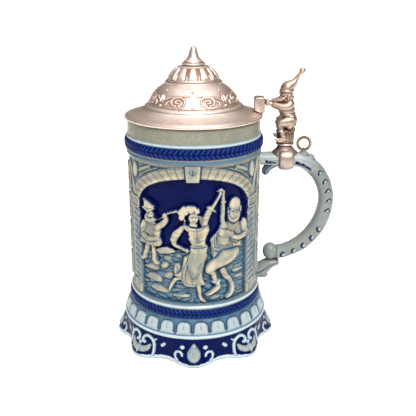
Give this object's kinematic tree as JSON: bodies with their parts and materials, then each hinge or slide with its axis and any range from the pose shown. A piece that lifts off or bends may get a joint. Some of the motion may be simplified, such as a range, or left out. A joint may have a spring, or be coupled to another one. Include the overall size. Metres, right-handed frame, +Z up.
{
  "type": "lidded beer stein",
  "caption": "Relief stoneware beer stein with a lobed foot, a loop handle and a hinged pewter lid raised by a seated gnome thumb lift.",
  "frame": {"origin": "middle of the flat underside, on the vessel's axis", "axes": "+Z up along the vessel's axis, +X towards the handle, -Y out of the front panel"},
  "size_m": [0.1544, 0.1142, 0.2057],
  "materials": {
    "stoneware": "salt-glazed grey stoneware relief, cobalt-blue grounds, pale-blue wash in the hollows, white slip on the high edges",
    "pewter": "satin cast pewter with a rose tint, brown antiquing in the hollows",
    "dark_pewter": "darkly antiqued cast pewter",
    "aged_brass": "aged bronze-brown brass wire",
    "steel": "plain turned steel pin"
  },
  "bodies": {
    "stein": {"stoneware_body": "stoneware", "handle": "stoneware", "handle_strap": "pewter", "keg_post": "dark_pewter", "keg_hoop": "pewter", "hinge_pin": "steel", "hinge_pin_cap": "steel", "hanging_eye": "aged_brass"},
    "lid": {"lid_brim": "pewter", "lid_liner": "pewter", "lid_dome": "pewter", "lid_fluted_cap": "pewter", "finial_collar": "pewter", "finial_spire": "pewter", "lid_block": "pewter", "thumb_lift_gnome": "pewter"}
  },
  "joints": [
    {"name": "lid_hinge", "type": "hinge", "parent": "stein", "child": "lid", "pos_m": [0.0664, 0, 0.1516], "axis": [0, 1, 0], "range_deg": [0, 92]}
  ]
}
